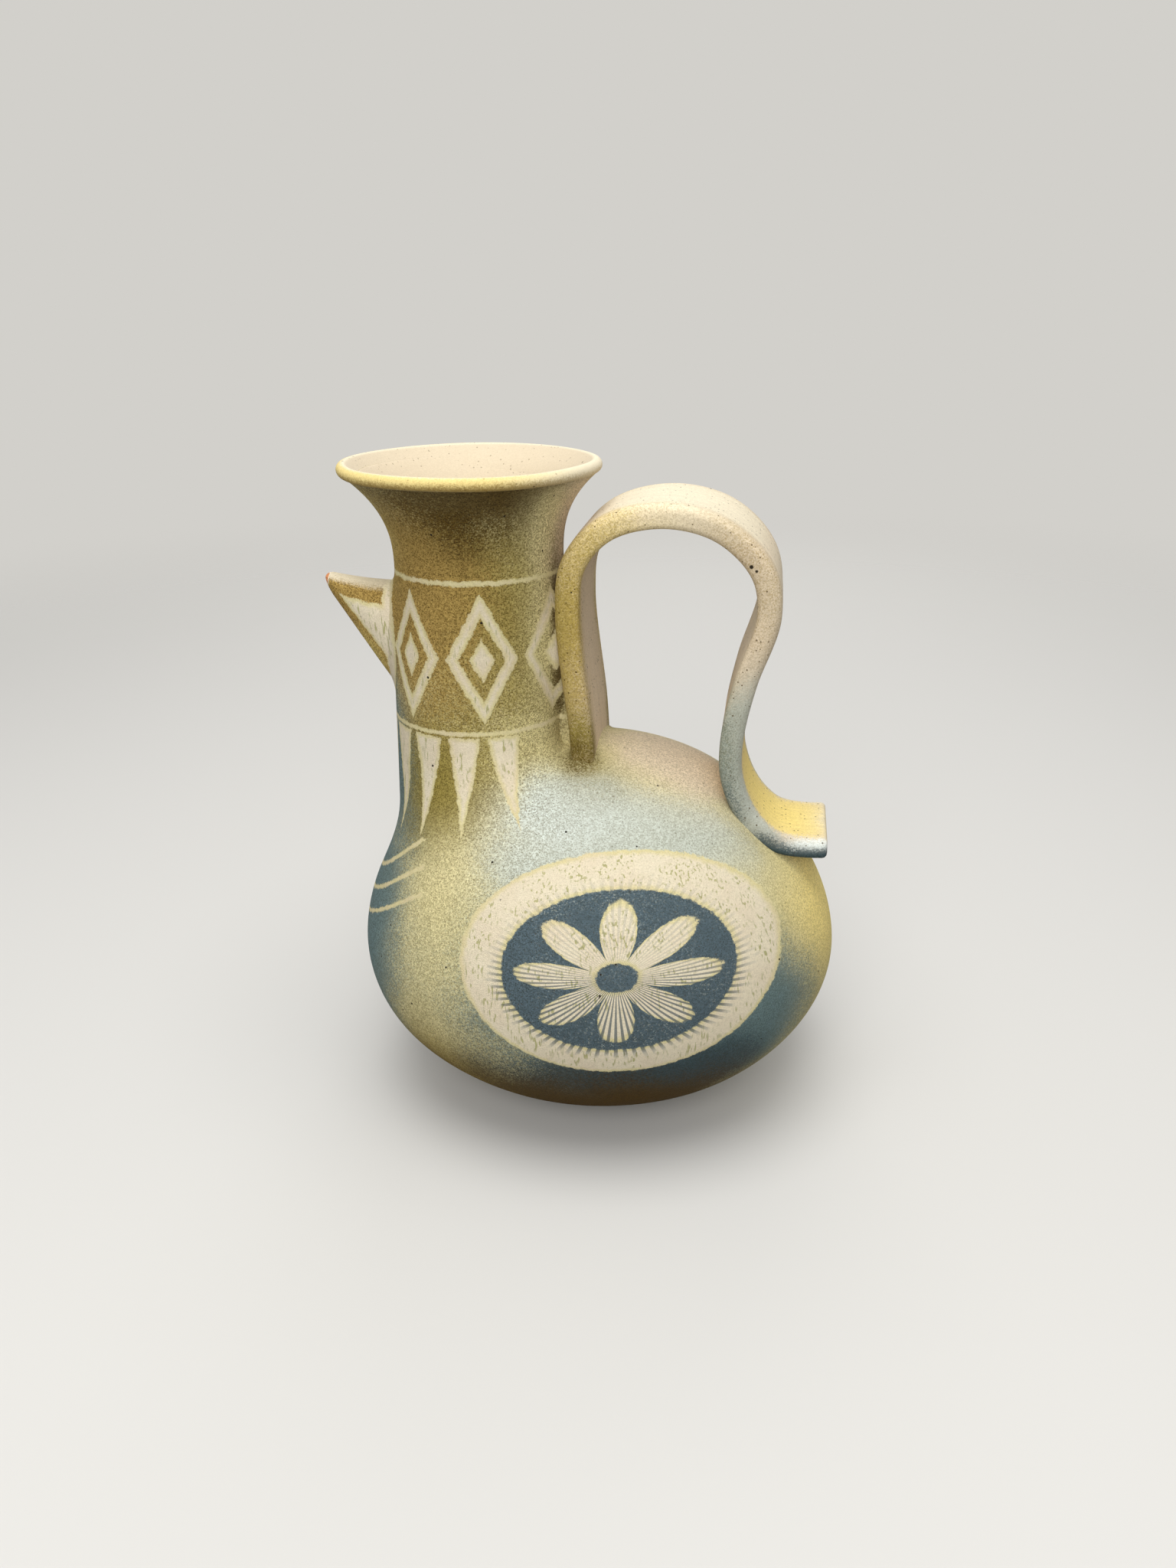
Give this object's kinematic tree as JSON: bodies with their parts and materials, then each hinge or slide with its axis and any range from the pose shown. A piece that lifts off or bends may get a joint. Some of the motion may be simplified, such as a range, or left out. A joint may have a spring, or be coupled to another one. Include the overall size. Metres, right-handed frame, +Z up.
{
  "type": "pottery jug",
  "caption": "Squat egg-bellied stoneware jug in the shape of a bird, with a flared neck, a closed beak and a strap handle that ends in a tail.",
  "frame": {"origin": "centre of the flat foot, on the surface that the jug stands on", "axes": "+Z up out of the mouth, +X from the beak to the tail, +Y to the jug's far side"},
  "size_m": [0.1895, 0.158, 0.2399],
  "materials": {
    "belly_glaze": "matt sandy glaze, slate blue, olive and buff",
    "neck_glaze": "matt sandy glaze, ochre and olive",
    "lip_glaze": "matt glaze, pale yellow and cream",
    "handle_glaze": "matt glaze, olive to cream and slate blue",
    "beak_glaze": "matt glaze, ochre and cream",
    "bare_clay": "unglazed, dull"
  },
  "bodies": {
    "root": {"base_disc": "belly_glaze", "belly_lower": "belly_glaze", "belly_upper": "belly_glaze", "belly_seam_coil": "bare_clay", "neck_tube": "neck_glaze", "rim_coil": "lip_glaze", "neck_luting_coil": "belly_glaze", "beak": "beak_glaze", "beak_luting_coil": "beak_glaze", "handle_strap": "handle_glaze", "handle_root_luting": "handle_glaze", "handle_neck_luting": "handle_glaze"}
  },
  "joints": []
}
